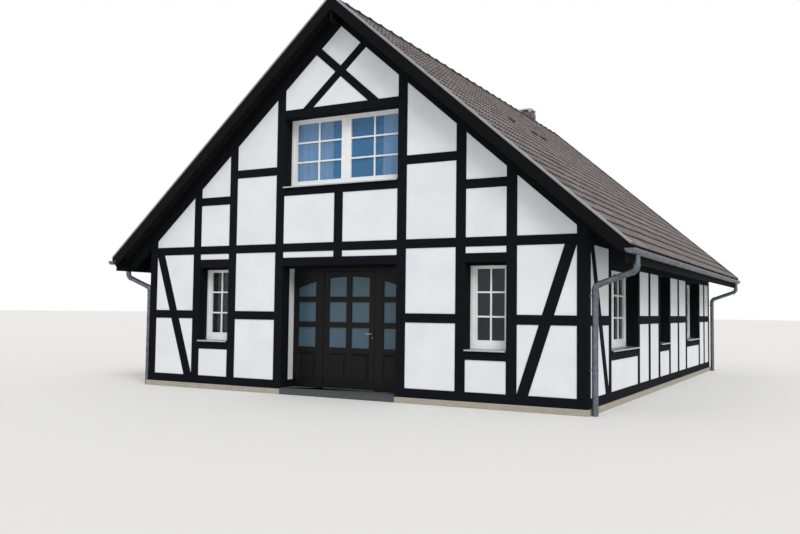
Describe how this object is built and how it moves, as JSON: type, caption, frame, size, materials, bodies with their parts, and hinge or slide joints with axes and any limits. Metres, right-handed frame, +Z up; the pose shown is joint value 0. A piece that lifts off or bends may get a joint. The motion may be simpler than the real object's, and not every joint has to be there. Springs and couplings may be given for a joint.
{
  "type": "half timbered house",
  "caption": "Gabled half timbered house with dark frame, white panels, tiled roof, glazed arched entrance and white barred windows.",
  "frame": {"origin": "middle of the house on the ground, under the ridge, at the underside of the plinth", "axes": "+Z up, the ridge runs along Y, the entrance gable faces -Y, +X is to the right of someone who faces the entrance"},
  "size_m": [11.14, 13.546, 7.9051],
  "materials": {
    "plinth_stone": "sawn stone edging",
    "floor_slab": "smooth screed",
    "floor_boards": "planed boards",
    "dark_timber": "black stained, brushed grain",
    "white_plaster": "fine white render",
    "wall_plaster": "smooth white plaster",
    "dark_boards": "dark stained boards",
    "white_frames": "white lacquer",
    "window_glass": "clear",
    "sill_metal": "satin",
    "step_stone": "flamed grey stone",
    "door_timber": "dark brown stained, satin",
    "frosted_glass": "frosted",
    "handle_steel": "satin",
    "rafter_timber": "sawn softwood",
    "roof_tiles": "engobed clay, matt",
    "ridge_tiles": "engobed clay, matt",
    "trim_metal": "light grey, satin",
    "zinc": "weathered zinc",
    "chimney_brick": "brick",
    "cap_metal": "dull"
  },
  "bodies": {
    "house": {"plinth": "plinth_stone", "ground_floor": "floor_slab", "upper_floor": "floor_boards", "front_posts": "dark_timber", "front_rails": "dark_timber", "front_panels": "white_plaster", "back_posts": "dark_timber", "back_rails": "dark_timber", "back_panels": "white_plaster", "right_posts": "dark_timber", "right_rails": "dark_timber", "right_panels": "white_plaster", "left_posts": "dark_timber", "left_rails": "dark_timber", "left_panels": "white_plaster", "gable_braces": "dark_timber", "side_braces": "dark_timber", "gable_rafters": "dark_timber", "gable_wall_piers": "wall_plaster", "gable_wall_bands": "wall_plaster", "side_wall_piers": "wall_plaster", "side_wall_bands": "wall_plaster", "reveal_boards": "dark_boards", "front_windows": "white_frames", "back_windows": "white_frames", "right_windows": "white_frames", "left_windows": "white_frames", "window_glass": "window_glass", "window_sills": "sill_metal", "door_step": "step_stone", "entrance_frame": "door_timber", "side_light_glass": "frosted_glass", "hinge_pins": "handle_steel", "rafters": "rafter_timber", "ridge_board": "rafter_timber", "eaves_plates": "dark_timber", "roof_boarding": "dark_boards", "roof_tiles": "roof_tiles", "ridge_tiles": "ridge_tiles", "barge_boards": "dark_boards", "verge_trims": "trim_metal", "fascia_boards": "dark_boards", "gutters": "zinc", "downpipes": "zinc", "chimney": "chimney_brick", "chimney_cap": "cap_metal"},
    "door": {"door_leaf": "door_timber", "door_glass": "frosted_glass", "door_handle": "handle_steel", "hinge_knuckles": "handle_steel"}
  },
  "joints": [
    {"name": "front_door_hinge", "type": "hinge", "parent": "house", "child": "door", "pos_m": [-0.5725, -5.838, 1.2], "axis": [0, 0, 1], "range_deg": [0, 95]}
  ]
}
